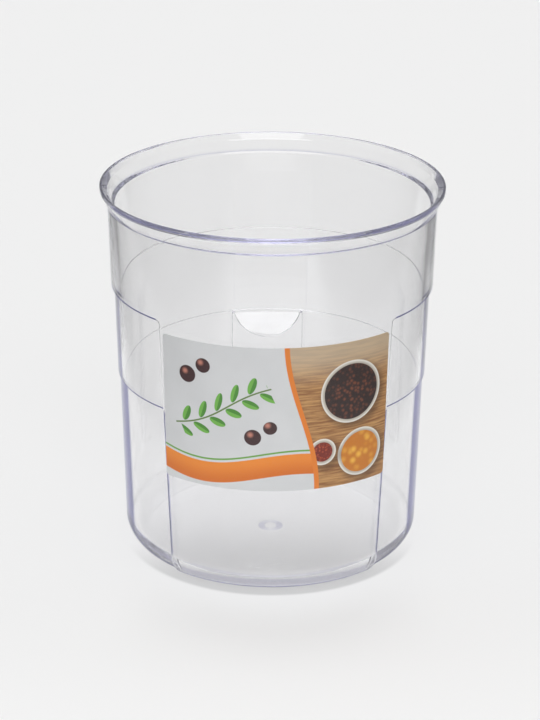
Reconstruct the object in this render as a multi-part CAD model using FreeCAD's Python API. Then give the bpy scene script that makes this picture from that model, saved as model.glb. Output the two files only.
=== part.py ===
import FreeCAD, Part
import math
import os

from FreeCAD import Vector

# Clear round storage container, open at the top, with a printed label stuck on its front.
# Frame: millimetres, +Z up, the origin at the centre of the underside that it stands on.
# The labelled front faces -Y.

# Overall size
rim_radius = 66.0
total_height = 146.5

# Rim: a flare that opens outward to a lip with a flat outer band
flare_height = 7.15
flare_reach = 2.9
lip_band_height = 1.4
lip_top_width = 0.9
lip_edge_round = 0.4
mouth_bevel_height = 2.1
mouth_bevel_reach = 1.9
mouth_seat_width = 0.8
mouth_seat_rise = 0.5

# Wall
wall_draft = 1.47
upper_wall = 2.8
lower_wall = 1.75
floor_thickness = 2.4
foot_round = 10.0
inner_foot_round = 8.5
corner_round = 0.6
ledge_height = 107.3
ledge_width = 0.2
inner_bend_height = 80.0

# Set-back wall under the ledge, all round but for the front field that takes the label
setback_depth = 1.2
setback_step_height = 71.2
setback_step_depth = 0.7
setback_step_round = 0.15
setback_foot_round = 9.5
setback_foot_lift = 0.1
field_half_angle = 44.4
field_side_draft = 1.6
field_corner_round = 1.5

# Pad inside the back wall, with a round thumb scoop in its top
pad_half_width = 15.0
pad_thickness = 4.2
pad_draft = 0.5
pad_top_height = 71.4
pad_edge_round = 0.8
scoop_radius = 14.6
scoop_drop = 10.4
scoop_low_depth = 0.2

# Moulding gate mark under the middle of the floor
gate_mark_radius = 5.5
gate_mark_slope_width = 3.0
gate_mark_depth = 0.12

# Label
label_bottom_height = 45.1
label_height = 58.2
label_half_angle = 42.4
label_thickness = 0.2
label_corner_round = 1.5
label_seat_gap = 0.15

# Sizes that follow from the ones above
flare_base_height = total_height - flare_height
body_radius = rim_radius - flare_reach
reach_beyond = 1.3 * rim_radius


def slope(degrees):
    """Change of radius for each millimetre of height."""
    return math.tan(math.radians(degrees))


def collar_radius(height):
    """Outside of the wall above the ledge, which narrows evenly towards the foot."""
    return body_radius - (flare_base_height - height) * slope(wall_draft)


def field_radius(height):
    """Outside of the front field under the ledge."""
    return collar_radius(height) - ledge_width


def setback_radius(height):
    """Outside of the set-back wall above its step."""
    return collar_radius(height) - setback_depth


def setback_lower_radius(height):
    """Outside of the set-back wall below its step."""
    return setback_radius(height) - setback_step_depth


def inner_lower_radius(height):
    """Inside of the wall below its bend."""
    return setback_lower_radius(height) - lower_wall


def corner_arc(before, corner, after, rounding):
    """Start, middle and end of the arc that rounds one corner of an outline."""
    back = (before - corner)
    ahead = (after - corner)
    room = 0.48 * min(back.Length, ahead.Length)
    back.normalize()
    ahead.normalize()
    half = 0.5 * back.getAngle(ahead)
    run = rounding / math.tan(half)
    if run > room:
        run = room
    radius = run * math.tan(half)
    middle_way = back + ahead
    middle_way.normalize()
    reach = radius / math.sin(half) - radius
    return corner + back * run, corner + middle_way * reach, corner + ahead * run


def rounded_outline(corners):
    """Closed outline in the XZ plane from corners of (radius, height, rounding)."""
    points = [Vector(radius, 0, height) for radius, height, rounding in corners]
    count = len(points)
    arcs = []
    for index in range(count):
        rounding = corners[index][2]
        if rounding > 0:
            before = points[index - 1]
            after = points[(index + 1) % count]
            arcs.append(corner_arc(before, points[index], after, rounding))
        else:
            arcs.append((points[index], None, points[index]))
    edges = []
    for index in range(count):
        start, middle, end = arcs[index]
        if middle is not None:
            edges.append(Part.Arc(start, middle, end).toShape())
        next_start = arcs[(index + 1) % count][0]
        if (next_start - end).Length > 1e-6:
            edges.append(Part.makeLine(end, next_start))
    return Part.Wire(edges)


def turned(corners):
    """Solid of revolution about Z from a closed outline."""
    face = Part.Face(rounded_outline(corners))
    return face.revolve(Vector(0, 0, 0), Vector(0, 0, 1), 360)


def turned_wall():
    """Floor, wall, flare and lip as one turned shape, the front field running right round."""
    seat_outer = body_radius - upper_wall + mouth_seat_width
    seat_height = flare_base_height + mouth_seat_rise
    lip_inner = rim_radius - lip_top_width
    bevel_low = total_height - mouth_bevel_height
    bevel_radius = lip_inner - mouth_bevel_reach
    bend = inner_bend_height
    ledge = ledge_height
    corners = [
        (0, 0, 0),
        (field_radius(0), 0, foot_round),
        (field_radius(ledge), ledge, 0),
        (collar_radius(ledge), ledge, 0),
        (body_radius, flare_base_height, corner_round),
        (rim_radius, total_height - lip_band_height, lip_edge_round),
        (rim_radius, total_height, lip_edge_round),
        (lip_inner, total_height, lip_edge_round),
        (bevel_radius, bevel_low, corner_round),
        (seat_outer, seat_height, corner_round / 2),
        (body_radius - upper_wall, flare_base_height, corner_round),
        (inner_lower_radius(bend), bend, 0),
        (inner_lower_radius(floor_thickness), floor_thickness, inner_foot_round),
        (0, floor_thickness, 0),
    ]
    return turned(corners)


def setback_ring():
    """All that lies outside the set-back wall, right round."""
    step = setback_step_height
    above = 1.1 * ledge_height
    foot_centre = setback_foot_round - setback_foot_lift
    foot_reach = math.sqrt(setback_foot_round ** 2 - foot_centre ** 2)
    wall_foot = setback_lower_radius(foot_centre)
    foot_start = wall_foot - setback_foot_round + foot_reach
    turn = math.radians(45)
    foot_middle = Vector(
        wall_foot - setback_foot_round + setback_foot_round * math.cos(turn),
        0,
        foot_centre - setback_foot_round * math.sin(turn),
    )
    wall_part = turned([
        (setback_radius(above), above, 0),
        (setback_radius(step), step, setback_step_round),
        (setback_lower_radius(step), step, setback_step_round),
        (wall_foot, foot_centre, 0),
        (reach_beyond, foot_centre, 0),
        (reach_beyond, above, 0),
    ])
    below = -floor_thickness
    start = Vector(foot_start, 0, 0)
    end = Vector(wall_foot, 0, foot_centre)
    far_end = Vector(reach_beyond, 0, foot_centre)
    far_below = Vector(reach_beyond, 0, below)
    start_below = Vector(foot_start, 0, below)
    outline = Part.Wire([
        Part.Arc(start, foot_middle, end).toShape(),
        Part.makeLine(end, far_end),
        Part.makeLine(far_end, far_below),
        Part.makeLine(far_below, start_below),
        Part.makeLine(start_below, start),
    ])
    foot_part = Part.Face(outline).revolve(Vector(0, 0, 0), Vector(0, 0, 1), 360)
    return wall_part.fuse(foot_part)


def beside_field():
    """Block that holds the right-hand half of the set-back wall, from the side of the front
    field to past the middle of the back. The field widens upward to the ledge."""
    angle = math.radians(field_half_angle)
    along = Vector(math.sin(angle), -math.cos(angle), 0)
    aside = Vector(-math.cos(angle), -math.sin(angle), 0)
    near = reach_beyond / 4
    far = 1.2 * reach_beyond
    sections = []
    for height in (-2 * floor_thickness, ledge_height):
        shift = aside * (ledge_height - height) * slope(field_side_draft)
        level = shift + Vector(0, 0, height)
        start = level + along * near
        end = level + along * far
        corner = Vector(far, far, height)
        back_end = Vector(-near, far, height)
        back_start = Vector(-near, near, height)
        sections.append(Part.makePolygon([start, end, corner, back_end, back_start, start]))
    block = Part.makeLoft(sections, True, True)
    top_side = []
    for edge in block.Edges:
        middle = edge.CenterOfMass
        runs_along = middle.y < 0 and abs(middle.cross(along).z) < corner_round
        if runs_along and abs(middle.z - ledge_height) < corner_round:
            top_side.append(edge)
    return block.makeFillet(field_corner_round, top_side)


def back_pad():
    """Flat-faced pad inside the back wall, a round scoop cut into its upper edge."""
    bed = lower_wall / 2
    wall_top = inner_lower_radius(pad_top_height)
    face = wall_top - pad_thickness
    base = -2 * floor_thickness
    lean = (pad_top_height - base) * slope(pad_draft)
    side = Part.makePolygon([
        Vector(-pad_half_width, face, pad_top_height),
        Vector(-pad_half_width, face - lean, base),
        Vector(-pad_half_width, reach_beyond, base),
        Vector(-pad_half_width, reach_beyond, pad_top_height),
        Vector(-pad_half_width, face, pad_top_height),
    ])
    block = Part.Face(side).extrude(Vector(2 * pad_half_width, 0, 0))
    long_edges = []
    for edge in block.Edges:
        middle = edge.CenterOfMass
        if middle.y < face and abs(middle.x) > pad_half_width / 2:
            long_edges.append(edge)
    block = block.makeFillet(pad_edge_round, long_edges)
    inside = turned([
        (0, floor_thickness / 2, 0),
        (inner_lower_radius(0) + bed, floor_thickness / 2, inner_foot_round + bed),
        (wall_top + bed, pad_top_height, 0),
        (0, pad_top_height, 0),
    ])
    return block.common(inside)


def scoop():
    """Level round bar, as far out as a cone that leans outward from the face of the pad to
    the wall at the pad's top."""
    lowest = pad_top_height - scoop_drop
    centre = Vector(0, 0, lowest + scoop_radius)
    bar = Part.makeCylinder(scoop_radius, reach_beyond, centre, Vector(0, 1, 0))
    wall_top = inner_lower_radius(pad_top_height)
    cone_low = wall_top - pad_thickness + scoop_low_depth
    lean = (wall_top - cone_low) / scoop_drop
    cone = turned([
        (0, lowest - scoop_drop, 0),
        (cone_low - lean * scoop_drop, lowest - scoop_drop, 0),
        (wall_top + lean * scoop_drop, pad_top_height + scoop_drop, 0),
        (0, pad_top_height + scoop_drop, 0),
    ])
    return bar.common(cone)


def container_body():
    """The whole clear moulding."""
    right = beside_field()
    left = right.mirror(Vector(0, 0, 0), Vector(1, 0, 0))
    shape = turned_wall().cut(setback_ring().common(right.fuse(left)))
    shape = shape.fuse(back_pad().cut(scoop()))
    mark_top = gate_mark_radius - gate_mark_slope_width
    mark = Part.makeCone(gate_mark_radius, mark_top, gate_mark_depth)
    shape = shape.cut(mark)
    return shape.removeSplitter()


def front_label():
    """Label bent round the front, its back face just clear of the wall."""
    low = label_bottom_height
    high = label_bottom_height + label_height
    inner_low = field_radius(low) + label_seat_gap
    inner_high = field_radius(high) + label_seat_gap
    outline = Part.makePolygon([
        Vector(inner_low, 0, low),
        Vector(inner_low + label_thickness, 0, low),
        Vector(inner_high + label_thickness, 0, high),
        Vector(inner_high, 0, high),
        Vector(inner_low, 0, low),
    ])
    outline.rotate(Vector(0, 0, 0), Vector(0, 0, 1), -90 - label_half_angle)
    face = Part.Face(outline)
    label = face.revolve(Vector(0, 0, 0), Vector(0, 0, 1), 2 * label_half_angle)
    corners = [edge for edge in label.Edges if edge.Length < 2 * label_thickness]
    return label.makeFillet(label_corner_round, corners)


def single_solid(shape):
    """The one solid that a shape holds."""
    solids = shape.Solids
    if len(solids) != 1:
        raise ValueError("expected one solid, found %d" % len(solids))
    return solids[0]


os.makedirs("parts", exist_ok=True)
single_solid(container_body()).exportStep("parts/container_body.step")
single_solid(front_label()).exportStep("parts/front_label.step")
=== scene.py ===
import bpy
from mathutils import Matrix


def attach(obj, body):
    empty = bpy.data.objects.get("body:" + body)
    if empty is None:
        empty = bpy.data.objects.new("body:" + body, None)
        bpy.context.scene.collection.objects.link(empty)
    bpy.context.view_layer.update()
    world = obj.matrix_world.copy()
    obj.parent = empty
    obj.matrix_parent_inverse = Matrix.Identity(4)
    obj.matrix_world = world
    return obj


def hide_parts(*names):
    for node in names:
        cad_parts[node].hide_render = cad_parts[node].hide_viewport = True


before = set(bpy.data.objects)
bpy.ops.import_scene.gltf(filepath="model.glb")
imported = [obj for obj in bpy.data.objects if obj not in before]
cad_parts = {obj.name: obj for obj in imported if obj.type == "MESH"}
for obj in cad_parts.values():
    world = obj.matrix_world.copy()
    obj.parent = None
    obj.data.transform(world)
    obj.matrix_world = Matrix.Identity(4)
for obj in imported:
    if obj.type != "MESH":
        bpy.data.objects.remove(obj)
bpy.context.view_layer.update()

import math

import bmesh
import bpy
import numpy as np
from mathutils import Matrix, Vector

# A clear round storage container with a printed label on its front.
# Sizes are in millimetres, +Z up, the labelled front facing -Y, as in the solid model.

MM = 0.001

# Rim: its radius is a hair under the solid's, so that the skin stays inside the solid's box
RIM_RADIUS = 65.97
TOTAL_HEIGHT = 146.5
FLARE_BASE = TOTAL_HEIGHT - 7.15
BODY_RADIUS = 63.1
LIP_BAND = 1.4
LIP_TOP = 0.9
LIP_ROUND = 0.4
BEVEL_HEIGHT = 2.1
BEVEL_REACH = 1.9
SEAT_WIDTH = 0.8
SEAT_RISE = 0.5
# Wall, floor and foot
WALL_DRAFT = 1.47
UPPER_WALL = 2.8
LOWER_WALL = 1.75
FLOOR = 2.4
FOOT_ROUND = 10.0
INNER_FOOT_ROUND = 8.5
CORNER_ROUND = 0.6
# Ledge, bend inside, and the wall set back beside the front field
LEDGE = 107.3
LEDGE_WIDTH = 0.2
LEDGE_ROUND = 0.06
INNER_BEND = 80.0
INNER_BEND_ROUND = 900.0
SETBACK = 1.2
STEP = 71.2
STEP_DEPTH = 0.7
STEP_ROUND = 0.1
SETBACK_FOOT_ROUND = 9.5
SETBACK_FOOT_LIFT = 0.1
FIELD_EDGE = math.radians(180 - 44.4)
FIELD_SIDE_DRAFT = 1.6
FIELD_CORNER = 1.5
FIELD_EDGE_ROUND = 0.15
# Pad inside the back wall, with its scoop
PAD_HALF = 15.0
PAD_THICKNESS = 4.2
PAD_DRAFT = 0.5
PAD_TOP = 71.4
PAD_ROUND = 0.8
SCOOP_RADIUS = 14.6
SCOOP_DROP = 10.4
SCOOP_LOW_DEPTH = 0.2
SCOOP_LOWEST = PAD_TOP - SCOOP_DROP
# Gate mark under the floor
MARK_RADIUS = 5.5
MARK_SLOPE = 3.0
MARK_DEPTH = 0.12
# Label
LABEL_LOW = 45.1
LABEL_TALL = 58.2
LABEL_HALF_ANGLE = math.radians(42.4)
LABEL_THICKNESS = 0.2
LABEL_CORNER = 1.5
LABEL_GAP = 0.15
LABEL_WIDE = 91.0

# Heights lie on a fine grid, so that no two rows of a mesh nearly touch
ROW_GRID = 0.002
# Steps round the arcs of the outlines
LEDGE_STEPS = 3
STEP_STEPS = 5
RIM_STEPS = 6
FOOT_STEPS = 14
INNER_FOOT_STEPS = 12
BEND_STEPS = 8
# Share of a run that the rounding at either end may take
ROUND_SHARE = 0.48
# More rows of the wall, measured from the ledge, the step and the scoop, and the lowest
ABOVE_LEDGE = (0.1, 0.3, 0.5, 0.9)
BESIDE_STEP = (-0.4, -0.3, 0.2, 0.4, 0.9)
BELOW_LEDGE = 0.4
BELOW_SCOOP = 0.3
PLAIN_WALL_LOW = 12.0
# Columns of one half of the body, from the middle of the back to the middle of the front
SCOOP_COLUMNS = 20
PAD_SIDE_COLUMNS = 4
PAD_ARC = (0, 22, 45, 68, 90)
BACK_COLUMNS = 116
FRONT_COLUMNS = 42
FIELD_SPREAD = math.radians(0.8)
EDGE_ARC = (0, 30, 60, 90)
# The pad's columns are set out at this radius, and draw together on the floor within the next
PAD_COLUMNS_RADIUS = 57.0
PAD_NARROWS_RADIUS = 48.0
# The scoop's columns: their least half width, and the one below the scoop
SCOOP_LEAST = 0.4
BELOW_SCOOP_HALF = 8.0
# Rings of points, on the floor from the wall inward, and under it from the middle outward
FLOOR_RINGS = (30.0, 22.0, 14.0, 7.0, 2.5, 0.0)
MARK_RINGS = (0.0, 1.2, MARK_RADIUS - MARK_SLOPE, 3.2, 4.0, 4.8, MARK_RADIUS)
UNDER_RINGS = (10.0, 18.0, 27.0, 37.0)
# Grid of the label
LABEL_CORNER_ROWS = 8
LABEL_ROWS = 40
LABEL_COLUMNS = 121
# Edges that turn by more degrees than this stay sharp
BODY_SHARP = 32
PLAIN_SHARP = 40

# Painted shade: where the plastic's colour turns dark violet, standing in for the dark bands at its
# edges, as shares of 1, and how far each shaded band reaches
EDGE_BAND = 0.8
EDGE_BAND_LIFT = 0.3
EDGE_BAND_GAIN = 1.5
BACK_PAINTED_SHADE = 0.1
BACK_ANGLE = math.radians(60)
BACK_FADE = math.radians(30)
FIELD_PAINTED_SHADE = 0.15
FIELD_LINE_HALF = 0.5
FIELD_BAND = 1.6
FIELD_BAND_PAINTED_SHADE = 0.75
FIELD_FOOT = 3.0
FIELD_FOOT_FADE = 9.0
MID_SIDE_PAINTED_SHADE = 0.25
MID_PAINTED_SHADE = 0.43
LOW_PAINTED_SHADE = 0.62
STEP_FADE = 0.4
FOOT_PAINTED_SHADE = 0.77
FOOT_PAINTED_SHADE_TOP = 4.3
SIDE_FOOT_TOP = 11.5
FOOT_FADE = 2.0
FLARE_PAINTED_SHADE = 0.82
FLARE_BAND = 1.2
MARK_PAINTED_SHADE = 0.79
MARK_BAND_MIDDLE = 3.5
MARK_BAND = 2.6
MARK_SIDE_SHARE = 0.12


def slope(degrees):
    return math.tan(math.radians(degrees))


def collar_radius(z):
    """Outside above the ledge: a cone that narrows towards the foot."""
    return BODY_RADIUS - (FLARE_BASE - z) * slope(WALL_DRAFT)


def field_radius(z):
    """Outside of the front field under the ledge."""
    return collar_radius(z) - LEDGE_WIDTH


def setback_radius(z):
    """Outside of the set-back wall above its step."""
    return collar_radius(z) - SETBACK


def setback_low_radius(z):
    """Outside of the set-back wall below its step."""
    return setback_radius(z) - STEP_DEPTH


def inner_low_radius(z):
    """Inside of the wall below its bend."""
    return setback_low_radius(z) - LOWER_WALL


# Outlines and meshes

def rounded_outline(corners):
    """Points (radius, height) along straight runs whose corners are arcs tangent to both
    runs. Each corner is (radius, height, rounding, steps round its arc)."""
    spots = np.array([corner[:2] for corner in corners], float)
    pieces = [spots[:1]]
    for index in range(1, len(corners) - 1):
        here, rounding, steps = spots[index], corners[index][2], corners[index][3]
        if rounding <= 0:
            pieces.append(spots[index:index + 1])
            continue
        back, ahead = spots[index - 1] - here, spots[index + 1] - here
        room = ROUND_SHARE * min(np.linalg.norm(back), np.linalg.norm(ahead))
        back, ahead = back / np.linalg.norm(back), ahead / np.linalg.norm(ahead)
        half = 0.5 * math.acos(float(np.clip(back @ ahead, -1, 1)))
        run = min(rounding / math.tan(half), room)
        radius = run * math.tan(half)
        middle = (back + ahead) / np.linalg.norm(back + ahead)
        centre = here + middle * radius / math.sin(half)
        first, last = here + back * run - centre, here + ahead * run - centre
        turn = math.pi - 2 * half
        t = np.linspace(0, 1, steps + 1)[:, None]
        arc = (np.sin((1 - t) * turn) * first + np.sin(t * turn) * last) / math.sin(turn)
        pieces.append(centre + arc)
    pieces.append(spots[-1:])
    return np.concatenate(pieces)


def on_rows(heights):
    """Heights moved to the nearest row of the grid."""
    return np.round(np.asarray(heights) / ROW_GRID) * ROW_GRID


def rising(points):
    """The same outline on the grid of rows, its level runs tipped by one row so that height
    always grows."""
    points = points.copy()
    points[:, 1] = on_rows(points[:, 1])
    for index in range(1, len(points)):
        points[index, 1] = max(points[index, 1], points[index - 1, 1] + ROW_GRID)
    return points


def grid_mesh(name, x, y, z, closed=True, clockwise=False, uv=None, painted_shade=None):
    """Mesh of quads over a grid of points, rows by columns. With closed, the last column
    joins the first. With clockwise, the columns run clockwise seen from above. Points that
    coincide are joined, which closes poles and takes out quads of no width."""
    rows, columns = x.shape
    points = np.stack([x, y, z], -1).reshape(-1, 3) * MM
    across = columns if closed else columns - 1
    r, c = np.meshgrid(np.arange(rows - 1), np.arange(across), indexing="ij")
    nxt = (c + 1) % columns
    quads = np.stack([r * columns + c, r * columns + nxt,
                      (r + 1) * columns + nxt, (r + 1) * columns + c], -1).reshape(-1, 4)
    if clockwise:
        quads = quads[:, ::-1]
    mesh = bpy.data.meshes.new(name)
    mesh.vertices.add(len(points))
    mesh.vertices.foreach_set("co", points.astype(np.float32).ravel())
    mesh.loops.add(quads.size)
    mesh.loops.foreach_set("vertex_index", quads.astype(np.int32).ravel())
    mesh.polygons.add(len(quads))
    mesh.polygons.foreach_set("loop_start", np.arange(0, quads.size, 4, dtype=np.int32))
    mesh.update(calc_edges=True)
    if uv is not None:
        layer = mesh.uv_layers.new(name="print")
        places = np.stack(uv, -1).reshape(-1, 2)[quads.ravel()]
        layer.uv.foreach_set("vector", places.astype(np.float32).ravel())
    # painted shade: a point attribute telling where the plastic's colour is painted dark violet
    if painted_shade is not None:
        layer = mesh.attributes.new("painted_shade", "FLOAT", "POINT")
        layer.data.foreach_set("value", painted_shade.astype(np.float32).ravel())
    work = bmesh.new()
    work.from_mesh(mesh)
    bmesh.ops.remove_doubles(work, verts=work.verts, dist=0.25 * ROW_GRID * MM)
    work.to_mesh(mesh)
    work.free()
    return mesh


def add_piece(name, mesh, material, smooth_angle):
    piece = bpy.data.objects.new(name, mesh)
    bpy.context.scene.collection.objects.link(piece)
    mesh.materials.append(material)
    mesh.shade_smooth()
    mesh.set_sharp_from_angle(angle=math.radians(smooth_angle))
    return piece


def outside_rows():
    """Heights of the rows outside, with the radius of the full wall and of the set-back one."""
    lip_middle = RIM_RADIUS - LIP_TOP / 2
    ledge_top = (collar_radius(LEDGE), LEDGE, LEDGE_ROUND, LEDGE_STEPS)
    full = rounded_outline([
        (0, 0, 0, 0),
        (field_radius(0), 0, FOOT_ROUND, FOOT_STEPS),
        (field_radius(LEDGE), LEDGE, LEDGE_ROUND, LEDGE_STEPS),
        ledge_top,
        (BODY_RADIUS, FLARE_BASE, CORNER_ROUND, RIM_STEPS),
        (RIM_RADIUS, TOTAL_HEIGHT - LIP_BAND, LIP_ROUND, RIM_STEPS),
        (RIM_RADIUS, TOTAL_HEIGHT, LIP_ROUND, RIM_STEPS),
        (lip_middle, TOTAL_HEIGHT, 0, 0)])[1:]
    foot_centre = SETBACK_FOOT_ROUND - SETBACK_FOOT_LIFT
    wall_foot = setback_low_radius(foot_centre)
    first_turn = math.acos(foot_centre / SETBACK_FOOT_ROUND)
    turn = np.linspace(first_turn, math.pi / 2, FOOT_STEPS + 1)
    foot = np.stack([wall_foot - SETBACK_FOOT_ROUND * (1 - np.sin(turn)),
                     foot_centre - SETBACK_FOOT_ROUND * np.cos(turn)], -1)
    upper = rounded_outline([
        (foot[-1][0], foot[-1][1], 0, 0),
        (setback_low_radius(STEP), STEP, STEP_ROUND, STEP_STEPS),
        (setback_radius(STEP), STEP, STEP_ROUND, STEP_STEPS),
        (setback_radius(LEDGE), LEDGE, STEP_ROUND, STEP_STEPS),
        ledge_top,
        (BODY_RADIUS, FLARE_BASE, 0, 0)])[1:-1]
    full = rising(full)
    setback = rising(np.concatenate([foot, upper]))
    extra = on_rows(np.concatenate([
        np.linspace(LEDGE - FIELD_CORNER, LEDGE - BELOW_LEDGE, 7),
        LEDGE + np.array(ABOVE_LEDGE),
        STEP + np.array(BESIDE_STEP),
        np.linspace(PLAIN_WALL_LOW, LEDGE - 4, 13),
        np.linspace(LEDGE + 2, FLARE_BASE - 1, 7)]))
    z = np.unique(np.round(np.concatenate([full[:, 1], setback[:, 1], extra]), 4))
    r_full = np.interp(z, full[:, 1], full[:, 0])
    r_back = np.interp(z, setback[:, 1], setback[:, 0])
    r_back = np.where(z > setback[-1, 1], r_full, r_back)
    return z[:, None], r_full[:, None], np.minimum(r_back, r_full)[:, None]


def inside_rows():
    """Heights of the rows inside, from the lip down to the floor, with their radius."""
    lip_inner = RIM_RADIUS - LIP_TOP
    inner = rounded_outline([
        (lip_inner + LIP_TOP / 2, TOTAL_HEIGHT, 0, 0),
        (lip_inner, TOTAL_HEIGHT, LIP_ROUND, RIM_STEPS),
        (lip_inner - BEVEL_REACH, TOTAL_HEIGHT - BEVEL_HEIGHT, CORNER_ROUND, RIM_STEPS),
        (BODY_RADIUS - UPPER_WALL + SEAT_WIDTH, FLARE_BASE + SEAT_RISE, CORNER_ROUND / 2, RIM_STEPS),
        (BODY_RADIUS - UPPER_WALL, FLARE_BASE, CORNER_ROUND, RIM_STEPS),
        (inner_low_radius(INNER_BEND), INNER_BEND, INNER_BEND_ROUND, BEND_STEPS),
        (inner_low_radius(FLOOR), FLOOR, INNER_FOOT_ROUND, INNER_FOOT_STEPS),
        (FLOOR_RINGS[0], FLOOR, 0, 0)])
    inner[:, 1] *= -1
    inner = rising(inner)
    # rows of the scoop: equal steps round its circle, from the pad's top to its lowest point
    turn = np.linspace(math.acos(1 - SCOOP_DROP / SCOOP_RADIUS), 0, SCOOP_COLUMNS + 1)
    scoop_z = SCOOP_LOWEST + SCOOP_RADIUS * (1 - np.cos(turn))
    more = np.concatenate([
        np.linspace(FLARE_BASE - 1, LEDGE + BELOW_LEDGE, 6),
        np.linspace(LEDGE - BELOW_LEDGE, INNER_BEND + 8, 4),
        np.linspace(SCOOP_LOWEST - BELOW_SCOOP, PLAIN_WALL_LOW + 1, 10),
        scoop_z,
        [PAD_TOP, PAD_TOP + ROW_GRID]])
    down = np.unique(np.round(np.concatenate([inner[:, 1], on_rows(-more)]), 4))
    r = np.interp(down, inner[:, 1], inner[:, 0])
    return -down[:, None], r[:, None]


def edge_columns(z, r_full, r_back):
    """Angle and radius of the columns round one side of the raised front field, from the
    set-back wall to the field. The side leans with height and curves at its upper end."""
    arc = np.radians(EDGE_ARC)
    lean = (LEDGE - np.minimum(z, LEDGE)) * slope(FIELD_SIDE_DRAFT)
    into = np.clip(z - (LEDGE - FIELD_CORNER), 0, FIELD_CORNER)
    shift = lean - (FIELD_CORNER - np.sqrt(FIELD_CORNER ** 2 - into ** 2))
    gap = r_full - r_back
    bend = np.minimum(FIELD_EDGE_ROUND, gap / 3)
    aside = np.concatenate([-bend + bend * np.sin(arc), bend * (1 - np.cos(arc))], 1)
    depth = np.concatenate([bend * (1 - np.cos(arc)), gap - bend + bend * np.sin(arc)], 1)
    radius = r_full - depth
    angle = FIELD_EDGE + np.arcsin(shift / radius) - aside / radius
    return angle[:, ::-1], radius[:, ::-1]


def spaced(start, stop, count):
    """Columns strictly between two angles, one of which may differ from row to row."""
    t = np.linspace(0, 1, count + 1)[None, 1:-1]
    return start + t * (stop - start)


def bump_at(value, middle, half):
    """1 at the middle, falling evenly to 0 half a width away."""
    return np.clip(1 - np.abs(value - middle) / half, 0, 1)


def painted_shade_at(z, angle, edge):
    """How much dark violet shade is painted on the outside, row by row and column by column,
    standing in for the dark bands at its edges. The bands lie just above the ledge and the
    step, beside the sides of the field, round the foot and at the base of the flare; the thin
    wall beside the field gets some all over."""
    aside = (angle < edge[:, :1] + 1e-9) * 1.0
    round_front = np.clip((angle - BACK_ANGLE) / BACK_FADE, BACK_PAINTED_SHADE, 1)
    ledge = np.clip(EDGE_BAND_GAIN * bump_at(z, LEDGE + EDGE_BAND_LIFT, EDGE_BAND), 0, 1)
    ledge = ledge * round_front * (aside + (1 - aside) * FIELD_PAINTED_SHADE)
    step = np.clip(EDGE_BAND_GAIN * bump_at(z, STEP + EDGE_BAND_LIFT, EDGE_BAND), 0, 1)
    step = step * round_front * aside
    below = np.clip((STEP - z) / STEP_FADE, 0, 1)
    past = (angle - edge.mean(1, keepdims=True)) * BODY_RADIUS
    on_field = np.where((past > 0) & (past < FIELD_BAND), FIELD_BAND_PAINTED_SHADE, 0.0)
    side = np.where(np.abs(past) < FIELD_LINE_HALF, 1.0, on_field)
    side = side * np.where(z < LEDGE, MID_SIDE_PAINTED_SHADE + (1 - MID_SIDE_PAINTED_SHADE) * below, 0)
    side = side * np.clip((z - FIELD_FOOT) / FIELD_FOOT_FADE, 0, 1)
    foot = FOOT_PAINTED_SHADE * np.clip((FOOT_PAINTED_SHADE_TOP - z) / FOOT_FADE, 0, 1) * (1 - aside)
    side_foot = LOW_PAINTED_SHADE * np.clip((SIDE_FOOT_TOP - z) / FOOT_FADE, 0, 1) * aside
    flare = FLARE_PAINTED_SHADE * bump_at(z, FLARE_BASE, FLARE_BAND) * np.ones_like(angle)
    wall = np.where(z < LEDGE, MID_PAINTED_SHADE + (LOW_PAINTED_SHADE - MID_PAINTED_SHADE) * below, 0) * aside
    return np.maximum.reduce([ledge, step, side, foot, side_foot, wall, flare])


def column_counts():
    """Number of columns on half the pad, and their angles when set out evenly."""
    count = (SCOOP_COLUMNS + 1) + (PAD_SIDE_COLUMNS + 1) + len(PAD_ARC) + 1
    pad_angle = math.asin(PAD_HALF / PAD_COLUMNS_RADIUS)
    return count, pad_angle, np.linspace(0, pad_angle, count)[None, :]


def even_columns():
    """Angles of the columns where each keeps one angle from row to row."""
    pad_angle, on_pad = column_counts()[1:]
    low, high = FIELD_EDGE - FIELD_SPREAD, FIELD_EDGE + FIELD_SPREAD
    return np.concatenate([
        on_pad,
        spaced(pad_angle, low, BACK_COLUMNS),
        np.linspace(low, high, 2 * len(EDGE_ARC))[None, :],
        spaced(high, math.pi, FRONT_COLUMNS),
        [[math.pi]]], 1)


def outside_skin():
    """Outside of one half. A column's radius is that of the set-back wall, then of the side
    of the field, then of the field, and above the ledge all columns become evenly spaced."""
    z, r_full, r_back = outside_rows()
    pad_count, pad_angle, on_pad = column_counts()
    edge_angle, edge_radius = edge_columns(z, r_full, r_back)
    every = np.ones_like(z)
    angle = np.concatenate([
        every * on_pad,
        spaced(pad_angle, edge_angle[:, :1], BACK_COLUMNS),
        edge_angle,
        spaced(edge_angle[:, -1:], math.pi, FRONT_COLUMNS),
        every * math.pi], 1)
    radius = np.concatenate([
        np.repeat(r_back, pad_count + BACK_COLUMNS - 1, 1),
        edge_radius,
        np.repeat(r_full, FRONT_COLUMNS, 1)], 1)
    painted_shade = painted_shade_at(z, angle, edge_angle)
    blend = np.clip((z - LEDGE - 1) / (FLARE_BASE - 4 - LEDGE), 0, 1)
    angle = angle * (1 - blend) + even_columns() * blend
    return radius * np.sin(angle), radius * np.cos(angle), z, angle, painted_shade


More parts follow.
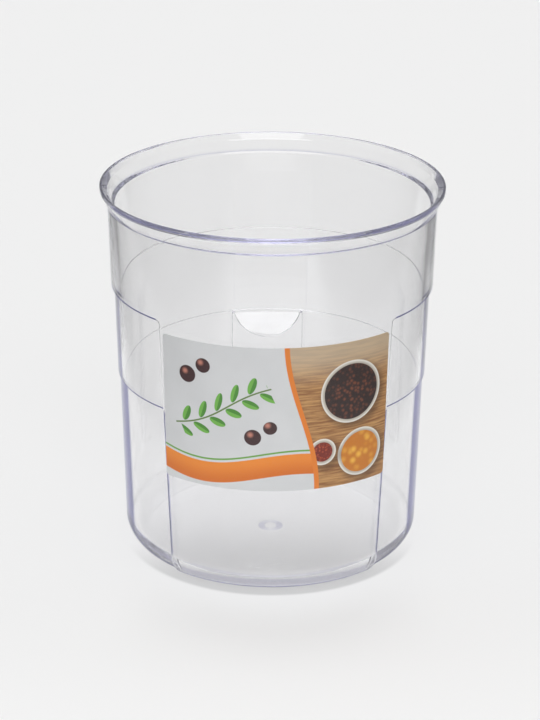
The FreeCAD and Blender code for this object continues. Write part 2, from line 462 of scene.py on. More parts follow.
def pad_columns(z, r_in):
    """The columns of the pad. Across it they lie evenly in x: from its middle to the edge of
    the scoop, which is half a chord of the scoop's circle, on to the pad's rounded side. In
    y they lie on the leaning flat face, in the scoop on a cone, or else on the wall."""
    pad_face = inner_low_radius(PAD_TOP) - PAD_THICKNESS
    face = pad_face - (PAD_TOP - z) * slope(PAD_DRAFT)
    lift = np.clip(z, SCOOP_LOWEST, PAD_TOP) - SCOOP_LOWEST
    half = np.sqrt(np.maximum(SCOOP_RADIUS ** 2 - (SCOOP_RADIUS - lift) ** 2, 0))
    half = np.where(z < SCOOP_LOWEST - ROW_GRID, BELOW_SCOOP_HALF, np.maximum(half, SCOOP_LEAST))
    flat = PAD_HALF - PAD_ROUND
    arc = np.radians(PAD_ARC)
    every = np.ones_like(z)
    shrink = np.minimum(1, r_in / PAD_NARROWS_RADIUS)
    x = shrink * np.concatenate([
        half * np.linspace(0, 1, SCOOP_COLUMNS + 1)[None, :],
        half + (flat - half) * np.linspace(0, 1, PAD_SIDE_COLUMNS + 1)[None, :],
        every * (flat + PAD_ROUND * np.sin(arc)),
        every * PAD_HALF], 1)
    y_wall = np.sqrt(r_in ** 2 - x ** 2)
    y_face = np.concatenate([
        np.repeat(face, SCOOP_COLUMNS + PAD_SIDE_COLUMNS + 2, 1),
        face + PAD_ROUND * (1 - np.cos(arc)),
        every * 2 * RIM_RADIUS], 1)
    below_top = z < PAD_TOP + ROW_GRID / 2
    y = np.where(below_top, np.minimum(y_wall, y_face), y_wall)
    on_scoop = slice(0, SCOOP_COLUMNS + 1)
    cone_low = pad_face + SCOOP_LOW_DEPTH
    cone = cone_low + lift * (inner_low_radius(PAD_TOP) - cone_low) / SCOOP_DROP
    leaning = np.sqrt(cone ** 2 - x[:, on_scoop] ** 2)
    leaning = np.clip(leaning, y[:, on_scoop], y_wall[:, on_scoop])
    scooped = below_top & (z > SCOOP_LOWEST - ROW_GRID / 2)
    y[:, on_scoop] = np.where(scooped, leaning, y[:, on_scoop])
    return x, y, shrink


def inside_skin():
    """Inside of one half, turned but for the pad. The columns beside the pad start at its
    true edge in every row."""
    z, r_in = inside_rows()
    pad_count, pad_angle = column_counts()[:2]
    x_pad, y_pad, shrink = pad_columns(z, r_in)
    low = FIELD_EDGE - FIELD_SPREAD
    rest = even_columns()[:, pad_count:]
    pad_edge = np.arcsin(PAD_HALF * shrink / r_in)
    beside = pad_edge + (rest - pad_angle) * (low - pad_edge) / (low - pad_angle)
    rest = np.where(rest < low, beside, rest)
    x = np.concatenate([x_pad, r_in * np.sin(rest)], 1)
    y = np.concatenate([y_pad, r_in * np.cos(rest)], 1)
    return x, y, z


def body_surface():
    """Closed skin of the clear moulding, as rows of points right round it.

    Each row has one height. The rows run from the middle of the underside outward, up the
    outside, over the lip, down the inside and over the floor to its middle. Angles are
    measured from the middle of the back, and the left-hand half mirrors the right.

    The fourth grid is painted shade, where the plastic's colour turns dark violet: 1 on the
    edges of the steps and of the field, and a part of 1 on the outside of the thin wall under
    the ledge, round the foot, at the base of the flare and round the gate mark."""
    x_out, y_out, z_out, angle, painted_shade = outside_skin()
    x_in, y_in, z_in = inside_skin()

    # underside with the sloping side of the gate mark
    radii = np.array(MARK_RINGS + UNDER_RINGS)[:, None]
    z_under = MARK_DEPTH * np.clip((MARK_RADIUS - radii) / MARK_SLOPE, 0, 1)
    x_under, y_under = radii * np.sin(angle[:1]), radii * np.cos(angle[:1])
    # painted shade: a dark violet ring round the gate mark, standing in for its glints and dark
    # patches
    on_mark = MARK_PAINTED_SHADE * np.clip(2 * bump_at(radii, MARK_BAND_MIDDLE, MARK_BAND), 0, 1)
    on_mark = on_mark * (1 - MARK_SIDE_SHARE + MARK_SIDE_SHARE * np.sin(angle[:1]))

    # floor inside, drawn together to its middle
    last = np.arctan2(x_in[-1:], y_in[-1:])
    inward = np.array(FLOOR_RINGS[1:])[:, None]
    x_floor, y_floor = inward * np.sin(last), inward * np.cos(last)
    z_floor = np.full_like(inward, z_in[-1, 0])

    x = np.concatenate([x_under, x_out, x_in, x_floor])
    y = np.concatenate([y_under, y_out, y_in, y_floor])
    levels = np.concatenate([z_under, z_out, z_in, z_floor])
    z = np.broadcast_to(np.minimum(levels, TOTAL_HEIGHT), x.shape)
    unlit = np.zeros((len(x_in) + len(x_floor), x.shape[1]))
    painted_shade = np.concatenate([on_mark, painted_shade, unlit])
    x = np.concatenate([x, -x[:, -2:0:-1]], 1)
    y, z, painted_shade = (np.concatenate([half, half[:, -2:0:-1]], 1) for half in (y, z, painted_shade))
    return x, y, z, painted_shade


def label_surface():
    """Thin closed skin of the label: its two faces lie on cones just outside the wall, and
    its outline is a rectangle with round corners, in arc length and height."""
    tall, corner = LABEL_TALL, LABEL_CORNER
    turn = np.linspace(0, math.pi / 2, LABEL_CORNER_ROWS + 1)
    t = np.concatenate([
        corner * (1 - np.cos(turn))[:-1],
        np.linspace(corner, tall - corner, LABEL_ROWS),
        tall - corner * (1 - np.cos(turn[::-1]))[1:]])[:, None]
    cut = np.maximum(0, np.maximum(corner - t, t - (tall - corner)))
    inset = corner - np.sqrt(np.maximum(corner ** 2 - cut ** 2, 0))
    z = LABEL_LOW + t
    inner = field_radius(z) + LABEL_GAP
    outer = inner + LABEL_THICKNESS
    a = np.linspace(-1, 1, LABEL_COLUMNS)[None, :] * (LABEL_HALF_ANGLE - inset / inner)
    angle = np.concatenate([a, a[:, ::-1]], 1)
    radius = np.concatenate([np.repeat(outer, LABEL_COLUMNS, 1),
                             np.repeat(inner, LABEL_COLUMNS, 1)], 1)
    # the end rows close the skin half way through its thickness
    ends = np.array([0] + list(range(len(t))) + [len(t) - 1])
    angle, radius, z, t = angle[ends], radius[ends], z[ends], t[ends]
    radius[[0, -1]] = inner[ends][[0, -1]] + LABEL_THICKNESS / 2
    u = 0.5 + 0.5 * angle / LABEL_HALF_ANGLE
    v = np.broadcast_to(t / tall, u.shape)
    x, y = radius * np.sin(angle), -radius * np.cos(angle)
    return x, y, np.broadcast_to(z, x.shape), (u, v)


# Materials

# Clear plastic: colours of light that passes it, and the dark violet shade painted at its edges
PLASTIC_INDEX = 1.57
PLASTIC_TINT_LOW = (0.953, 0.953, 0.955)
PLASTIC_TINT_HIGH = (0.963, 0.963, 0.965)
# painted shade: the dark violet colours painted on the plastic's edges and bands
EDGE_SHADE_COLOUR = (0.02, 0.02, 0.14)
HALO_SHADE_COLOUR = (0.02, 0.02, 0.36)
SHADOW_TINT = (0.995, 0.995, 0.997)
ABSORPTION = 1.8
DEPTH_COLOUR = (0.0, 0.0, 0.52)
ASLANT_FROM = 0.92
ASLANT_TO = 0.97
ASLANT_WIDEN = 0.36
PAINTED_SHADE_LEAST = 0.05
PAINTED_SHADE_FULL = 0.6
SCRATCH_ROUGHNESS = 0.10
GRAIN_ROUGHNESS = 0.012

# Wear: turn and seed of each set of hair scratches, and the axis that all turn about
SCRATCH_SETS = ((0.5, 3.0), (-0.9, 11.0), (1.7, 29.0))
SCRATCH_AXIS = (0.3, 0.8, 0.52)
SCRATCH_STRETCH = (0.03, 1.3, 0.9)
SCRATCH_FROM = 0.71
SCRATCH_TO = 0.76
# Noise scales, in waves for each millimetre
SCRATCH_PATCHES = 0.05
FLOW_SCALE = 0.045
GRAIN_SCALE = 2.4

# Label, left of its border: places in millimetres from the middle of its lower edge
GROUND_LOW = (0.68, 0.69, 0.70)
GROUND_HIGH = (0.72, 0.73, 0.74)
RIBBON_HEIGHT = 8.4
RIBBON_SWING = 2.6
RIBBON_WAVE = 0.085
RIBBON_PHASE = 0.9
RIBBON_HALF = 4.2
RIBBON_DARK = (0.72, 0.17, 0.012)
RIBBON_LIGHT = (0.88, 0.27, 0.03)
LINE_LOW = 5.1
LINE_HIGH = 5.8
LINE_COLOUR = (0.16, 0.40, 0.06)
SPRIG_X = -41.0
SPRIG_Y = 23.5
SPRIG_TURN = math.radians(24.0)
SPRIG_SWING = 1.5
SPRIG_WAVE = 0.13
STEM_FROM = 1.0
STEM_TO = 43.0
STEM_HALF = 0.3
STEM_COLOUR = (0.12, 0.22, 0.04)
LEAVES_FROM = 3.0
LEAVES_TO = 42.0
LEAF_PITCH = 7.4
LEAF_SIDES = ((1.0, 0.0), (-1.0, 3.7))
LEAF_TILT = math.radians(48.0)
LEAF_AWAY = 3.3
LEAF_HALF_LONG = 3.5
LEAF_HALF_WIDE = 1.45
LEAF_DARK = (0.07, 0.27, 0.03)
LEAF_LIGHT = (0.17, 0.46, 0.07)
FRUITS = (((-34.5, 44.5), 3.4), ((-28.0, 49.0), 2.9), ((-9.0, 22.0), 3.2), ((-2.5, 26.0), 2.6))
GLINT_SHIFT = (-0.9, 1.1)
FRUIT_DARK = (0.05, 0.016, 0.018)
FRUIT_GLINT = (0.55, 0.22, 0.16)

# Label, right of its border: a bowl is its centre, size, two colours and the grain of its food
BORDER_X = 9.5
BORDER_SWING = 6.0
BORDER_WAVE = 0.052
BORDER_COLOUR = (0.80, 0.22, 0.02)
WOOD_ALONG = 0.07
WOOD_ACROSS = 0.9
WOOD_FAR_FROM = 40.0
WOOD_FAR_TO = 56.0
WOOD_DARK = (0.26, 0.10, 0.03)
WOOD_LIGHT = (0.60, 0.33, 0.12)
WOOD_FAR = (0.62, 0.52, 0.38)
BOWLS = (((29.0, 38.0), 12.6, (0.028, 0.012, 0.010), (0.20, 0.06, 0.03), 0.62),
         ((33.5, 12.5), 9.8, (0.62, 0.20, 0.015), (0.92, 0.50, 0.06), 0.30),
         ((17.5, 15.0), 5.4, (0.20, 0.018, 0.008), (0.52, 0.09, 0.03), 1.1))
BOWL_SHADOW_SHIFT = (1.2, -1.5)
BOWL_SHADOW = (0.06, 0.025, 0.01)
BOWL_WALL = 1.3
BOWL_INSIDE = (0.52, 0.47, 0.40)
BOWL_RIM = (0.86, 0.83, 0.76)

# Label, all over
PRINT_EDGE = 0.1
PRINT_DULL = (0.45, 0.45, 0.45)
FILM_BACK = (0.70, 0.70, 0.69)
FILM_BACK_PRINT = 0.12

# Floor, in metres and shares of white: a pale sheet on a darker table
SHEET_HALF = 0.172
SHEET_WIDEN = 0.10
SHEET_SOFT = 0.03
SHEET_SHADE = 0.835
# painted light: the sheet is lighter towards the front
SHEET_FRONT_SHADE = 0.87
FRONT_SHADE_FROM = -0.05
FRONT_SHADE_TO = -0.20
SHEET_GRAIN = 0.01
TABLE_SHADE = 0.27
# painted shadow: a darker ring of the sheet round the front of the foot
FOOT_SHADE = 0.62
FOOT_SHADE_FROM = 0.0514
FOOT_SHADE_TO = 0.0582
FOOT_SHADE_SOFT = 0.0012
FOOT_SHADE_BACK = -0.01
FOOT_SHADE_FRONT = -0.045
# painted shade and light under the container: darker under its front, brighter to its back
UNDER_FRONT_SHADE = 0.74
UNDER_BACK_SHADE = 1.0
UNDER_FRONT = -0.045
UNDER_BACK = 0.035
UNDER_RADIUS = 0.048
UNDER_RADIUS_SOFT = 0.052


class Nodes:
    """Short calls for building a node tree. A value is a socket or a plain number."""

    def __init__(self, tree):
        self.tree = tree
        tree.nodes.clear()

    def new(self, kind, **settings):
        node = self.tree.nodes.new(kind)
        for key, value in settings.items():
            setattr(node, key, value)
        return node

    def put(self, value, socket):
        if isinstance(value, bpy.types.NodeSocket):
            self.tree.links.new(value, socket)
        else:
            socket.default_value = value

    def maths(self, kind, *values):
        node = self.new("ShaderNodeMath", operation=kind)
        for index, value in enumerate(values):
            self.put(value, node.inputs[index])
        return node.outputs[0]

    def add(self, a, b):
        return self.maths("ADD", a, b)

    def take(self, a, b):
        return self.maths("SUBTRACT", a, b)

    def times(self, a, b):
        return self.maths("MULTIPLY", a, b)

    def most(self, a, b):
        return self.maths("MAXIMUM", a, b)

    def least(self, a, b):
        return self.maths("MINIMUM", a, b)

    def ramp(self, value, start, stop, low=0.0, high=1.0):
        """Smooth change from low to high while value goes from start to stop."""
        node = self.new("ShaderNodeMapRange", interpolation_type="SMOOTHSTEP")
        for socket, given in zip(("Value", "From Min", "From Max", "To Min", "To Max"),
                                 (value, start, stop, low, high)):
            self.put(given, node.inputs[socket])
        return node.outputs[0]

    def band(self, value, start, stop, soft):
        """1 where value lies between start and stop, with soft ends."""
        rise = self.ramp(value, start - soft, start + soft)
        return self.times(rise, self.ramp(value, stop - soft, stop + soft, 1.0, 0.0))

    def mix(self, amount, first, second):
        """Colour between the first and the second."""
        node = self.new("ShaderNodeMix", data_type="RGBA")
        self.put(amount, node.inputs[0])
        for value, socket in ((first, node.inputs[6]), (second, node.inputs[7])):
            self.put(value if isinstance(value, bpy.types.NodeSocket) else (*value, 1), socket)
        return node.outputs[2]

    def noise(self, vector, scale, detail=2.0, rough=0.5):
        node = self.new("ShaderNodeTexNoise")
        for socket, given in zip(("Vector", "Scale", "Detail", "Roughness"),
                                 (vector, scale, detail, rough)):
            self.put(given, node.inputs[socket])
        return node.outputs["Fac"]

    def vector(self, x, y, z=0.0):
        node = self.new("ShaderNodeCombineXYZ")
        for index, value in enumerate((x, y, z)):
            self.put(value, node.inputs[index])
        return node.outputs[0]


def new_material(name):
    material = bpy.data.materials.new(name)
    material.use_nodes = True
    n = Nodes(material.node_tree)
    return material, n, n.new("ShaderNodeOutputMaterial")


def surface_wear():
    """Group shared by the pieces: hair scratches, faint mould flow and fine grain, all from
    one place in millimetres."""
    tree = bpy.data.node_groups.new("surface wear", "ShaderNodeTree")
    tree.interface.new_socket("Place", in_out="INPUT", socket_type="NodeSocketVector")
    for name in ("Scratches", "Flow", "Grain"):
        tree.interface.new_socket(name, in_out="OUTPUT", socket_type="NodeSocketFloat")
    n = Nodes(tree)
    place = n.new("NodeGroupInput").outputs["Place"]
    scratches = None
    for turn, seed in SCRATCH_SETS:
        rotate = n.new("ShaderNodeVectorRotate", rotation_type="AXIS_ANGLE")
        n.put(place, rotate.inputs["Vector"])
        rotate.inputs["Axis"].default_value = SCRATCH_AXIS
        rotate.inputs["Angle"].default_value = turn
        stretch = n.new("ShaderNodeVectorMath", operation="MULTIPLY_ADD")
        n.put(rotate.outputs[0], stretch.inputs[0])
        stretch.inputs[1].default_value = SCRATCH_STRETCH
        stretch.inputs[2].default_value = (seed, seed, seed)
        line = n.ramp(n.noise(stretch.outputs[0], 1.0, 1.0), SCRATCH_FROM, SCRATCH_TO)
        scratches = line if scratches is None else n.most(scratches, line)
    patches = n.ramp(n.noise(place, SCRATCH_PATCHES, 2.0), 0.45, 0.7)
    out = n.new("NodeGroupOutput")
    n.put(n.times(scratches, patches), out.inputs["Scratches"])
    n.put(n.noise(place, FLOW_SCALE, 2.0, 0.4), out.inputs["Flow"])
    n.put(n.noise(place, GRAIN_SCALE, 3.0, 0.6), out.inputs["Grain"])
    return tree


def worn(n, tree, place):
    """The shared group's three values at a place in metres."""
    scaled = n.new("ShaderNodeVectorMath", operation="SCALE")
    n.put(place, scaled.inputs[0])
    scaled.inputs["Scale"].default_value = 1 / MM
    group = n.new("ShaderNodeGroup")
    group.node_tree = tree
    n.put(scaled.outputs[0], group.inputs["Place"])
    return (group.outputs[name] for name in ("Scratches", "Flow", "Grain"))


def bumped(n, height, distance, strength=1.0):
    bump = n.new("ShaderNodeBump")
    bump.inputs["Strength"].default_value = strength
    bump.inputs["Distance"].default_value = distance * MM
    n.put(height, bump.inputs["Height"])
    return bump.outputs[0]


def clear_plastic(wear):
    """Clear glossy plastic with a faint violet tint in its depth, slight flow marks and a few
    hair scratches, its colour painted a dark violet shade at its edges and bands and where it
    is seen aslant. Shadow and diffuse rays pass straight through it."""
    material, n, out = new_material("clear plastic")
    place = n.new("ShaderNodeTexCoord").outputs["Object"]
    scratches, flow, grain = worn(n, wear, place)
    shade = n.new("ShaderNodeBsdfPrincipled")
    # painted shade: the colour turns dark violet by the mesh's attribute, and at the outline where
    # the surface is seen aslant
    painted_shade = n.new("ShaderNodeAttribute", attribute_name="painted_shade").outputs["Fac"]
    facing = n.new("ShaderNodeLayerWeight").outputs["Facing"]
    widen = n.times(painted_shade, ASLANT_WIDEN)
    aslant = n.ramp(facing, n.take(ASLANT_FROM, widen), n.take(ASLANT_TO, widen))
    aslant = n.times(aslant, n.ramp(painted_shade, 0.0, PAINTED_SHADE_LEAST))
    shade_amount = n.least(n.add(n.ramp(painted_shade, PAINTED_SHADE_FULL, 1.0), aslant), 1.0)
    plain = n.mix(flow, PLASTIC_TINT_LOW, PLASTIC_TINT_HIGH)
    shade_colour = n.mix(n.ramp(shade_amount, 0.5, 1.0), HALO_SHADE_COLOUR, EDGE_SHADE_COLOUR)
    n.put(n.mix(shade_amount, plain, shade_colour), shade.inputs["Base Color"])
    rough = n.ramp(grain, 0.55, 0.8, 0.0, GRAIN_ROUGHNESS)
    n.put(n.add(n.times(scratches, SCRATCH_ROUGHNESS), rough), shade.inputs["Roughness"])
    shade.inputs["IOR"].default_value = PLASTIC_INDEX
    shade.inputs["Transmission Weight"].default_value = 1.0
    n.put(bumped(n, n.take(flow, n.times(scratches, 0.02)), 0.05), shade.inputs["Normal"])
    clear = n.new("ShaderNodeBsdfTransparent")
    clear.inputs["Color"].default_value = (*SHADOW_TINT, 1)
    path = n.new("ShaderNodeLightPath")
    mix = n.new("ShaderNodeMixShader")
    n.put(n.most(path.outputs["Is Shadow Ray"], path.outputs["Is Diffuse Ray"]), mix.inputs[0])
    n.put(shade.outputs[0], mix.inputs[1])
    n.put(clear.outputs[0], mix.inputs[2])
    n.put(mix.outputs[0], out.inputs["Surface"])
    depth = n.new("ShaderNodeVolumeAbsorption")
    depth.inputs["Color"].default_value = (*DEPTH_COLOUR, 1)
    depth.inputs["Density"].default_value = ABSORPTION
    n.put(depth.outputs[0], out.inputs["Volume"])
    return material


def distance_to(n, x, y, centre):
    away = [n.take(value, at) for value, at in zip((x, y), centre)]
    return n.maths("SQRT", n.add(n.times(away[0], away[0]), n.times(away[1], away[1])))


def shifted(centre, shift):
    return centre[0] + shift[0], centre[1] + shift[1]


def leaf_row(n, along, across, shift):
    """Masks of one row of leaves on one side of a stem: the leaves, and one half of each
    along its midrib. A leaf is an ellipse that leans by the tilt, once in each pitch."""
    cell = n.maths("WRAP", n.add(along, shift), -0.5 * LEAF_PITCH, 0.5 * LEAF_PITCH)
    up = n.take(across, LEAF_AWAY)
    lean, rise = math.cos(LEAF_TILT), math.sin(LEAF_TILT)
    reach = n.add(n.times(cell, lean), n.times(up, rise))
    width = n.take(n.times(up, lean), n.times(cell, rise))
    oval = n.add(n.maths("POWER", n.times(reach, 1 / LEAF_HALF_LONG), 2.0),
                 n.maths("POWER", n.times(width, 1 / LEAF_HALF_WIDE), 2.0))
    return n.ramp(oval, 1.08, 0.92), n.ramp(width, -0.08, 0.08)


def ground_with_ribbon(n, x, y, spot):
    """Pale ground with an orange ribbon, whose middle is a sine of x, and a thin green line
    along its upper side."""
    colour = n.mix(n.ramp(n.noise(spot, 0.06), 0.3, 0.7), GROUND_LOW, GROUND_HIGH)
    swing = n.maths("SINE", n.add(n.times(x, RIBBON_WAVE), RIBBON_PHASE))
    ribbon = n.take(y, n.add(n.times(swing, RIBBON_SWING), RIBBON_HEIGHT))
    orange = n.mix(n.ramp(ribbon, -4.0, 3.5), RIBBON_DARK, RIBBON_LIGHT)
    colour = n.mix(n.band(ribbon, -RIBBON_HALF, RIBBON_HALF, 0.12), colour, orange)
    return n.mix(n.band(ribbon, LINE_LOW, LINE_HIGH, PRINT_EDGE), colour, LINE_COLOUR)


def with_sprig(n, x, y, colour):
    """The colour with a leafy sprig over it, its stem a slight sine along a sloping line, and
    four round fruits with a glint."""
    right, up = n.take(x, SPRIG_X), n.take(y, SPRIG_Y)
    level, rise = math.cos(SPRIG_TURN), math.sin(SPRIG_TURN)
    along = n.add(n.times(right, level), n.times(up, rise))
    across = n.take(n.times(up, level), n.times(right, rise))
    swing = n.maths("SINE", n.times(along, SPRIG_WAVE))
    across = n.add(across, n.times(swing, SPRIG_SWING))
    for side, shift in LEAF_SIDES:
        leaf, half = leaf_row(n, along, n.times(across, side), shift)
        on_sprig = n.times(leaf, n.band(along, LEAVES_FROM, LEAVES_TO, PRINT_EDGE))
        colour = n.mix(on_sprig, colour, n.mix(half, LEAF_DARK, LEAF_LIGHT))
    stem = n.times(n.band(across, -STEM_HALF, STEM_HALF, PRINT_EDGE),
                   n.band(along, STEM_FROM, STEM_TO, PRINT_EDGE))
    colour = n.mix(stem, colour, STEM_COLOUR)
    for centre, size in FRUITS:
        away = distance_to(n, x, y, centre)
        glint = n.ramp(distance_to(n, x, y, shifted(centre, GLINT_SHIFT)), 0.2, 1.7)
        fruit = n.mix(glint, FRUIT_GLINT, FRUIT_DARK)
        colour = n.mix(n.ramp(away, size + PRINT_EDGE, size - PRINT_EDGE), colour, fruit)
    return colour


def board_with_bowls(n, x, y, spot):
    """Brown wooden board, its grain a noise stretched along x, with three round bowls of food
    seen from above, each with a soft shadow."""
    stretched = n.vector(n.times(x, WOOD_ALONG), n.times(y, WOOD_ACROSS))
    grain = n.noise(stretched, 1.0, 4.0, 0.6)
    board = n.mix(n.ramp(grain, 0.3, 0.7), WOOD_DARK, WOOD_LIGHT)
    board = n.mix(n.ramp(y, WOOD_FAR_FROM, WOOD_FAR_TO, 0.0, 0.7), board, WOOD_FAR)
    for centre, size, dark, light, scale in BOWLS:
        inside = size - BOWL_WALL
        away = distance_to(n, x, y, centre)
        shadow = distance_to(n, x, y, shifted(centre, BOWL_SHADOW_SHIFT))
        board = n.mix(n.ramp(shadow, size - 1.0, size + 2.5, 0.55, 0.0), board, BOWL_SHADOW)
        rim = n.mix(n.ramp(away, inside, size), BOWL_INSIDE, BOWL_RIM)
        board = n.mix(n.ramp(away, size + PRINT_EDGE, size - PRINT_EDGE), board, rim)
        cells = n.new("ShaderNodeTexVoronoi", feature="F1")
        n.put(spot, cells.inputs["Vector"])
        cells.inputs["Scale"].default_value = scale
        food = n.mix(n.ramp(cells.outputs["Distance"], 0.05, 0.62), light, dark)
        food = n.mix(n.ramp(away, size * 0.45, inside - 0.1, 0.0, 0.5), food, dark)
        board = n.mix(n.ramp(away, inside, inside - 0.2), board, food)
    return board


def on_printed_face(n, place):
    """1 on the face of the film and 0 on its back, told by how far a point is from the axis."""
    where = n.new("ShaderNodeSeparateXYZ")
    n.put(place, where.inputs[0])
    x, y, z = where.outputs
    from_axis = n.maths("SQRT", n.add(n.times(x, x), n.times(y, y)))
    foot_radius = (field_radius(0) + LABEL_GAP + LABEL_THICKNESS / 2) * MM
    middle = n.add(n.times(z, slope(WALL_DRAFT)), foot_radius)
    return n.ramp(n.take(from_axis, middle), -0.03 * MM, 0.03 * MM)


def label_print(wear):
    """Printed film: a pale ground with a ribbon and a leafy sprig with dark fruit, and a
    wooden board with three bowls of food behind an orange border, which is a cosine of y.
    The back of the film is plain and pale."""
    material, n, out = new_material("label print")
    place = n.new("ShaderNodeTexCoord").outputs["Object"]
    scratches, flow, grain = worn(n, wear, place)
    uv = n.new("ShaderNodeUVMap", uv_map="print").outputs[0]
    split = n.new("ShaderNodeSeparateXYZ")
    n.put(uv, split.inputs[0])
    x = n.times(n.take(split.outputs[0], 0.5), LABEL_WIDE)
    y = n.times(split.outputs[1], LABEL_TALL)
    spot = n.vector(x, y)
    colour = with_sprig(n, x, y, ground_with_ribbon(n, x, y, spot))
    board = board_with_bowls(n, x, y, spot)
    swing = n.times(n.maths("COSINE", n.times(y, BORDER_WAVE)), BORDER_SWING)
    border = n.take(x, n.add(swing, BORDER_X))
    colour = n.mix(n.ramp(border, -0.12, 0.12), colour, board)
    colour = n.mix(n.band(border, -1.0, 0.9, PRINT_EDGE), colour, BORDER_COLOUR)
    colour = n.mix(n.ramp(grain, 0.2, 0.8, 0.0, 0.05), colour, PRINT_DULL)
    back = n.mix(FILM_BACK_PRINT, FILM_BACK, colour)
    colour = n.mix(on_printed_face(n, place), back, colour)
    shade = n.new("ShaderNodeBsdfPrincipled")
    n.put(colour, shade.inputs["Base Color"])
    n.put(n.add(n.ramp(grain, 0.3, 0.7, 0.30, 0.38), n.times(scratches, 0.2)),
          shade.inputs["Roughness"])
    n.put(bumped(n, n.add(flow, n.times(grain, 0.05)), 0.06), shade.inputs["Normal"])
    n.put(shade.outputs[0], out.inputs["Surface"])
    return material


def floor_material(wear):
    """Pale sheet of limited width on a darker table, with a faint grain, a painted shadow in front
    of the foot and painted light and shade under the container.
    """
    material, n, out = new_material("pale sheet")
    place = n.new("ShaderNodeTexCoord").outputs["Object"]
    grain = list(worn(n, wear, place))[2]
    split = n.new("ShaderNodeSeparateXYZ")
    n.put(place, split.inputs[0])
    x, y = split.outputs[0], split.outputs[1]
    half = n.add(n.times(n.most(y, 0.0), SHEET_WIDEN), SHEET_HALF)
    beyond = n.ramp(n.take(n.maths("ABSOLUTE", x), half), -SHEET_SOFT, SHEET_SOFT)
    # painted shadow: the sheet is darker in a ring in front of the foot; painted light and shade:
    # under the container it brightens to the back, and beyond the foot it is lighter towards the
    # front
    away = n.maths("SQRT", n.add(n.times(x, x), n.times(y, y)))
    near = n.ramp(y, FRONT_SHADE_FROM, FRONT_SHADE_TO, SHEET_SHADE, SHEET_FRONT_SHADE)
    beneath = n.ramp(y, UNDER_FRONT, UNDER_BACK, UNDER_FRONT_SHADE, UNDER_BACK_SHADE)
    foot = n.ramp(y, FOOT_SHADE_BACK, FOOT_SHADE_FRONT, near, FOOT_SHADE)
    ring = n.band(away, FOOT_SHADE_FROM, FOOT_SHADE_TO, FOOT_SHADE_SOFT)
    level = n.add(near, n.times(ring, n.take(foot, near)))
    level = n.ramp(away, UNDER_RADIUS, UNDER_RADIUS_SOFT, beneath, level)
    level = n.times(level, n.ramp(grain, 0.0, 1.0, 1 - SHEET_GRAIN, 1 + SHEET_GRAIN))
    pale = n.vector(level, level, level)
    colour = n.mix(beyond, pale, (TABLE_SHADE,) * 3)
    shade = n.new("ShaderNodeBsdfDiffuse")
    n.put(colour, shade.inputs["Color"])
    n.put(shade.outputs[0], out.inputs["Surface"])
    return material


# Light all round, as levels by direction: z is the sine of the height above the floor
LOW_LEVEL = 0.74
LOW_SIDE_LEVEL = 0.53
SIDE_FROM = 0.4
SIDE_TO = 0.8
LOW_FADE = (0.20, 0.30)
MIDDLE_FRONT = 0.60
MIDDLE_BACK = 0.28
MIDDLE_TURN = 0.6
MIDDLE_FADE = (0.50, 0.60)
HIGH_LEVEL = 0.85
LEAST_SLOPE = 0.001
# Soft box overhead, its half sizes as slopes from straight up
BOX_LEVEL = 2.9
BOX_HALF_X = 0.27
BOX_HALF_Y = 0.6
BOX_SOFT_X = 0.02
BOX_SOFT_Y = 0.05
BOX_LOWEST = 0.1
# Low box in front, its half width and its heights as slopes from straight ahead
FRONT_LEVEL = 6.0
FRONT_HALF = 0.55
FRONT_LOW = 0.34
FRONT_HIGH = 0.52
FRONT_SOFT_X = 0.05
FRONT_SOFT_Z = 0.02
FRONT_FROM = -0.08
FRONT_TO = -0.12


def world_light():
    """Plain studio all round: a pale room with a darker band at the middle heights, a soft
    box overhead and a low one in front."""
    world = bpy.data.worlds.new("studio")
    bpy.context.scene.world = world
    world.use_nodes = True
    n = Nodes(world.node_tree)
    out = n.new("ShaderNodeOutputWorld")
    back = n.new("ShaderNodeBackground")
    n.put(back.outputs[0], out.inputs["Surface"])
    split = n.new("ShaderNodeSeparateXYZ")
    n.put(n.new("ShaderNodeTexCoord").outputs["Generated"], split.inputs[0])
    x, y, z = split.outputs
    up = n.most(z, LEAST_SLOPE)
    box = n.times(n.band(n.maths("DIVIDE", x, up), -BOX_HALF_X, BOX_HALF_X, BOX_SOFT_X),
                  n.band(n.maths("DIVIDE", y, up), -BOX_HALF_Y, BOX_HALF_Y, BOX_SOFT_Y))
    box = n.times(box, n.band(z, BOX_LOWEST, 2.0, BOX_SOFT_Y))
    ahead = n.most(n.times(y, -1.0), LEAST_SLOPE)
    low = n.times(n.band(n.maths("DIVIDE", x, ahead), -FRONT_HALF, FRONT_HALF, FRONT_SOFT_X),
                  n.band(n.maths("DIVIDE", z, ahead), FRONT_LOW, FRONT_HIGH, FRONT_SOFT_Z))
    low = n.times(low, n.ramp(y, FRONT_FROM, FRONT_TO))
    middle = n.ramp(y, -MIDDLE_TURN, MIDDLE_TURN, MIDDLE_FRONT, MIDDLE_BACK)
    aside = n.maths("ABSOLUTE", x)
    lower = n.ramp(aside, SIDE_FROM, SIDE_TO, LOW_LEVEL, LOW_SIDE_LEVEL)
    level = n.ramp(z, *LOW_FADE, lower, middle)
    level = n.ramp(z, *MIDDLE_FADE, level, HIGH_LEVEL)
    level = n.add(level, n.times(box, BOX_LEVEL))
    level = n.add(level, n.times(low, FRONT_LEVEL))
    n.put(level, back.inputs["Strength"])


# Pieces

wear = surface_wear()
x, y, z, painted_shade = body_surface()
body = add_piece("clear_body", grid_mesh("clear_body", x, y, z, clockwise=True, painted_shade=painted_shade),
                 clear_plastic(wear), BODY_SHARP)
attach(body, "root")
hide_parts("container_body")

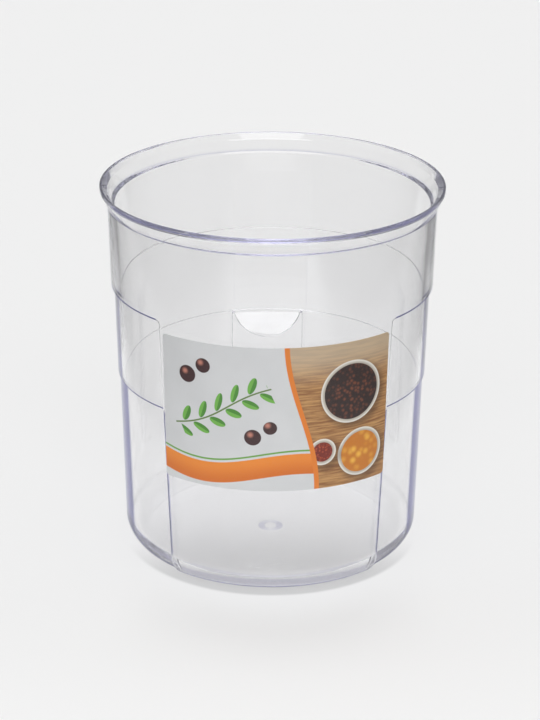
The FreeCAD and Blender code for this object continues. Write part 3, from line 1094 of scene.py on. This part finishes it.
x, y, z, places = label_surface()
label = add_piece("printed_label", grid_mesh("printed_label", x, y, z, uv=places),
                  label_print(wear), PLAIN_SHARP)
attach(label, "root")
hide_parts("front_label")

# Floor and light, in millimetres

FLOOR_DROP = -0.12
FLOOR_HALF = 3000
spread = np.linspace(-FLOOR_HALF, FLOOR_HALF, 3)
x, y = np.meshgrid(spread, spread)
floor = add_piece("floor", grid_mesh("floor", x, y, np.full_like(x, FLOOR_DROP), False),
                  floor_material(wear), PLAIN_SHARP)
world_light()

# Camera: its place in millimetres, its turns in radians, its lens in pixels of the picture

CAMERA_AWAY = 865.0
CAMERA_ABOVE = 429.4
CAMERA_TURN = math.radians(-2.0)
CAMERA_PITCH = 0.391
CAMERA_ROLL = 0.0065
PICTURE_TALL = 720.0
FOCAL_PIXELS = 2380.0
SHIFT_X_PIXELS = -1.5
SHIFT_Y_PIXELS = 0.7
SENSOR_HEIGHT = 24.0
camera_data = bpy.data.cameras.new("camera")
camera = bpy.data.objects.new("camera", camera_data)
bpy.context.scene.collection.objects.link(camera)
camera_data.sensor_fit = "VERTICAL"
camera_data.sensor_height = SENSOR_HEIGHT
camera_data.lens = FOCAL_PIXELS / PICTURE_TALL * SENSOR_HEIGHT
camera_data.shift_x = SHIFT_X_PIXELS / PICTURE_TALL
camera_data.shift_y = SHIFT_Y_PIXELS / PICTURE_TALL
camera_data.clip_start = 50 * MM
camera_data.clip_end = 20000 * MM
stand = Matrix.Translation(Vector((0, -CAMERA_AWAY, CAMERA_ABOVE)) * MM)
look = Matrix.Rotation(math.pi / 2 - CAMERA_PITCH, 4, "X") @ Matrix.Rotation(CAMERA_ROLL, 4, "Z")
camera.matrix_world = Matrix.Rotation(CAMERA_TURN, 4, "Z") @ stand @ look
scene = bpy.context.scene
scene.camera = camera
scene.view_settings.view_transform = "Standard"
# light turns many times inside the edges of the plastic
scene.cycles.max_bounces = 96
scene.cycles.transmission_bounces = 64
scene.cycles.glossy_bounces = 64
scene.cycles.transparent_max_bounces = 24
scene.cycles.diffuse_bounces = 4
